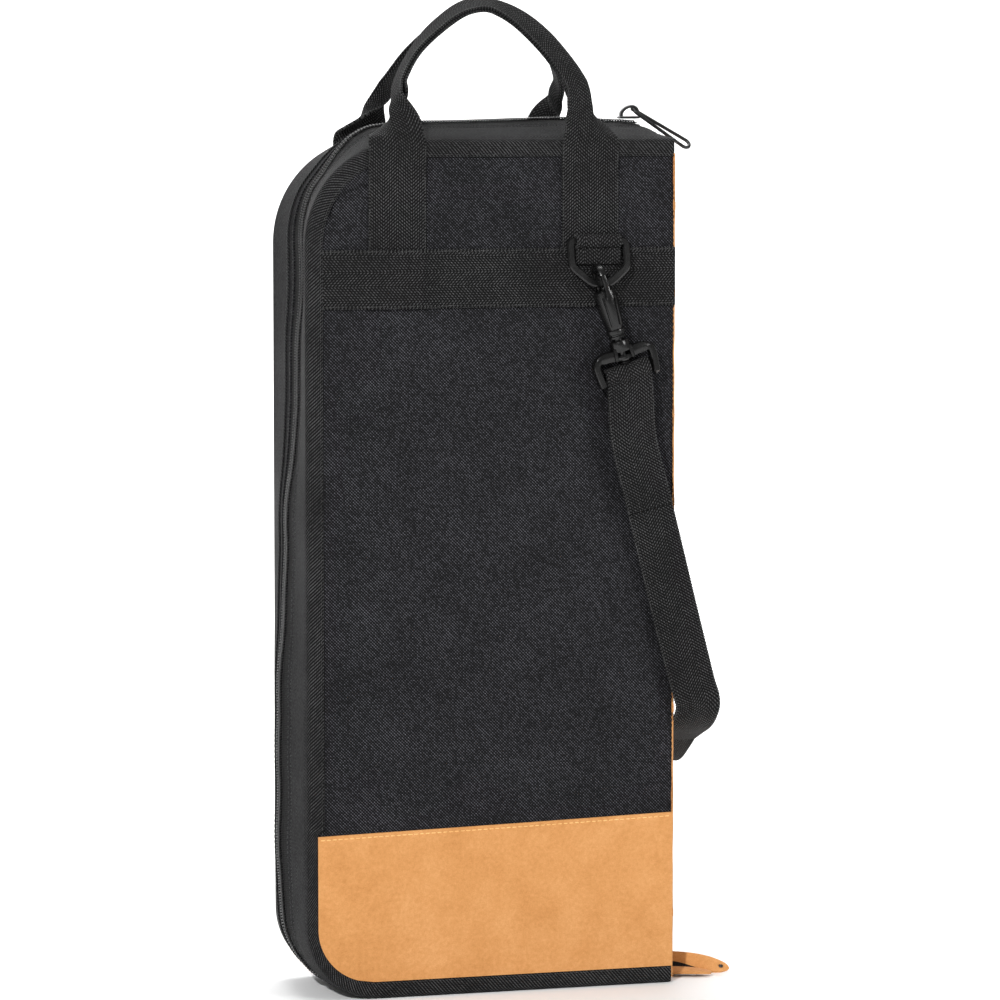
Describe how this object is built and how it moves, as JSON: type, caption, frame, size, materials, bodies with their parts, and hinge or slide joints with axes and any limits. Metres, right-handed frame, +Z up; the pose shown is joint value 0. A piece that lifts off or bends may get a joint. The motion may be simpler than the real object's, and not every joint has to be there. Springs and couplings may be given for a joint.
{
  "type": "drum stick bag",
  "caption": "Upright zippered drum stick bag that opens like a book, with webbing handles, suede base and spine, and a clip-on shoulder strap.",
  "frame": {"origin": "middle of the base, on the plane where the two halves meet, at the level the bag stands on", "axes": "+Z up, towards the handles; +X towards the spine; -Y out of the back face, which carries the near end of the shoulder strap"},
  "size_m": [0.2443, 0.1126, 0.5489],
  "materials": {
    "canvas": "woven polyester, charcoal black",
    "foam": "closed-cell padding",
    "lining": "plain woven nylon",
    "suede": "napped tan suede",
    "binding": "herringbone twill tape",
    "webbing": "ribbed polypropylene webbing",
    "zipper_tape": "fine woven tape",
    "coil": "nylon coil",
    "plastic": "satin black acetal",
    "black_metal": "black satin enamel"
  },
  "bodies": {
    "back_half": {"back_panel": "canvas", "back_foam": "foam", "back_lining": "lining", "back_suede_base": "suede", "back_binding": "binding", "back_gusset": "canvas", "back_zipper_tape": "zipper_tape", "back_zipper_coil": "coil", "back_cross_band": "webbing", "back_handle_legs": "webbing", "back_d_ring_tab": "webbing", "back_stick_sleeve": "lining", "back_strap_run": "webbing"},
    "spine": {"spine_suede": "suede", "spine_foam": "foam", "spine_lining": "lining", "strap_loop": "webbing", "zipper_end_tab": "suede"},
    "front_half": {"front_panel": "canvas", "front_foam": "foam", "front_lining": "lining", "front_suede_base": "suede", "front_binding": "binding", "front_gusset": "canvas", "front_zipper_tape": "zipper_tape", "front_zipper_coil": "coil", "front_cross_band": "webbing", "front_handle_legs": "webbing", "front_d_ring_tab": "webbing", "front_stick_sleeve": "lining", "front_strap_run": "webbing", "front_pocket": "canvas", "pocket_zipper_tape": "zipper_tape", "pocket_zipper_coil": "coil"},
    "zip_slider": {"zipper_slider": "black_metal"},
    "zip_pull": {"zipper_pull": "black_metal"},
    "pocket_slider": {"pocket_slider": "black_metal"},
    "pocket_pull": {"pocket_pull": "black_metal"},
    "strap_adjuster": {"strap_adjuster": "plastic"},
    "back_handle": {"back_handle_grip": "webbing"},
    "back_d_ring": {"back_d_ring": "plastic", "back_swivel_base": "plastic", "back_strap_fold": "webbing"},
    "back_hook": {"back_hook": "plastic"},
    "back_gate": {"back_hook_gate": "plastic"},
    "front_handle": {"front_handle_grip": "webbing"},
    "front_d_ring": {"front_d_ring": "plastic", "front_swivel_base": "plastic", "front_strap_fold": "webbing"},
    "front_hook": {"front_hook": "plastic"},
    "front_gate": {"front_hook_gate": "plastic"}
  },
  "joints": [
    {"name": "spine_fold", "type": "hinge", "parent": "back_half", "child": "spine", "pos_m": [0.105, -0.038, 0], "axis": [0, 0, -1], "range_deg": [0, 90]},
    {"name": "front_fold", "type": "hinge", "parent": "spine", "child": "front_half", "pos_m": [0.105, 0.038, 0], "axis": [0, 0, -1], "range_deg": [0, 90]},
    {"name": "zip_slide", "type": "slide", "parent": "back_half", "child": "zip_slider", "axis": [-1, 0, 0], "range_m": [0, 0.12]},
    {"name": "zip_pull_swing", "type": "hinge", "parent": "zip_slider", "child": "zip_pull", "pos_m": [0.0925, 0, 0.48765], "axis": [-0.2588, -0.9659, 0], "range_deg": [0, 192]},
    {"name": "back_handle_fold", "type": "hinge", "parent": "back_half", "child": "back_handle", "pos_m": [0, -0.0389, 0.474], "axis": [1, 0, 0], "range_deg": [0, 160]},
    {"name": "back_ring_swing", "type": "hinge", "parent": "back_half", "child": "back_d_ring", "pos_m": [0.0595, -0.0421, 0.4158], "axis": [-1, 0, 0], "range_deg": [0, 50]},
    {"name": "back_hook_swivel", "type": "hinge", "parent": "back_d_ring", "child": "back_hook", "pos_m": [0.0595, -0.04779, 0.39455], "axis": [-0.2924, 0, 0.9563], "range_deg": [-15, 15]},
    {"name": "back_gate_open", "type": "hinge", "parent": "back_hook", "child": "back_gate", "pos_m": [0.06178, -0.05449, 0.38709], "axis": [-0.9563, 0, -0.2924], "range_deg": [0, 8], "stiffness_Nm_per_rad": 0.02, "springref_deg": -17.19},
    {"name": "front_handle_fold", "type": "hinge", "parent": "front_half", "child": "front_handle", "pos_m": [0, 0.0389, 0.474], "axis": [-1, 0, 0], "range_deg": [0, 160]},
    {"name": "front_ring_swing", "type": "hinge", "parent": "front_half", "child": "front_d_ring", "pos_m": [0.0595, 0.0421, 0.4158], "axis": [1, 0, 0], "range_deg": [0, 50]},
    {"name": "front_hook_swivel", "type": "hinge", "parent": "front_d_ring", "child": "front_hook", "pos_m": [0.0595, 0.04779, 0.39455], "axis": [-0.2924, 0, 0.9563], "range_deg": [-15, 15]},
    {"name": "front_gate_open", "type": "hinge", "parent": "front_hook", "child": "front_gate", "pos_m": [0.06178, 0.05449, 0.38709], "axis": [0.9563, 0, 0.2924], "range_deg": [0, 8], "stiffness_Nm_per_rad": 0.02, "springref_deg": -17.19},
    {"name": "pocket_zip_slide", "type": "slide", "parent": "front_half", "child": "pocket_slider", "axis": [-1, 0, 0], "range_m": [0, 0.1]},
    {"name": "pocket_pull_swing", "type": "hinge", "parent": "pocket_slider", "child": "pocket_pull", "pos_m": [0.034, 0.05045, 0.308], "axis": [1, 0, 0], "range_deg": [0, 150]},
    {"name": "adjuster_slide", "type": "slide", "parent": "front_half", "child": "strap_adjuster", "axis": [0.2393, 0, -0.9709], "range_m": [0, 0.08]}
  ],
  "couplings": [
    {"joint": "front_fold", "follows": "spine_fold", "ratio": 1},
    {"joint": "zip_pull_swing", "follows": "zip_slide", "rad_per_m": 27.925}
  ]
}
